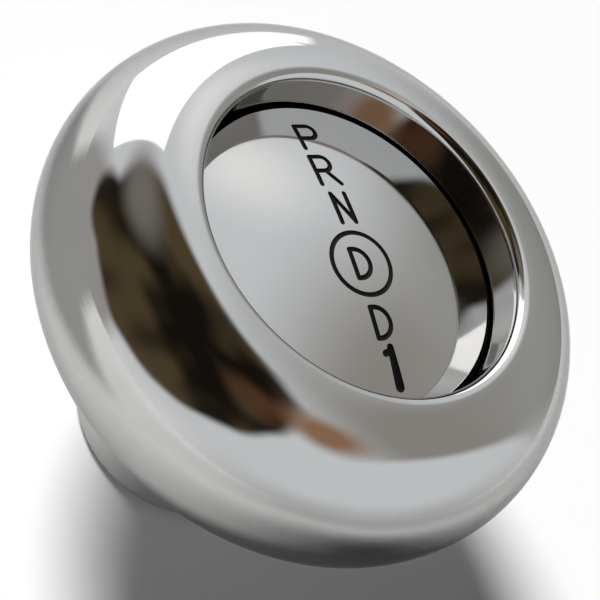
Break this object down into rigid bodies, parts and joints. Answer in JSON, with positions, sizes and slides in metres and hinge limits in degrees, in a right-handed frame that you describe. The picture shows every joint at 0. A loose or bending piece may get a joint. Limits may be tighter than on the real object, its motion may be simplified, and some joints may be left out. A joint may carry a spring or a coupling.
{
  "type": "gear shift knob",
  "caption": "Round mirror-polished gear shift knob with a sunken, slightly domed gear-position disc in its top and a threaded neck that screws on to the shift lever.",
  "frame": {"origin": "centre of the neck's flat end, at the mouth of the lever thread", "axes": "+Z along the knob's axis from the neck to the recessed top, +Y towards the top of the legend and the front of the car, +X to the right of the legend"},
  "size_m": [0.054, 0.054, 0.0394],
  "materials": {
    "polished_body": "mirror-polished stainless steel",
    "polished_disc": "mirror-polished stainless steel with a black-filled engraved legend",
    "plain_screws": "plain stainless steel",
    "black_screws": "black-oxide steel"
  },
  "bodies": {
    "root": {"knob_body": "polished_body", "legend_disc": "polished_disc", "disc_screw": "plain_screws", "neck_grub_screw": "black_screws"}
  },
  "joints": []
}
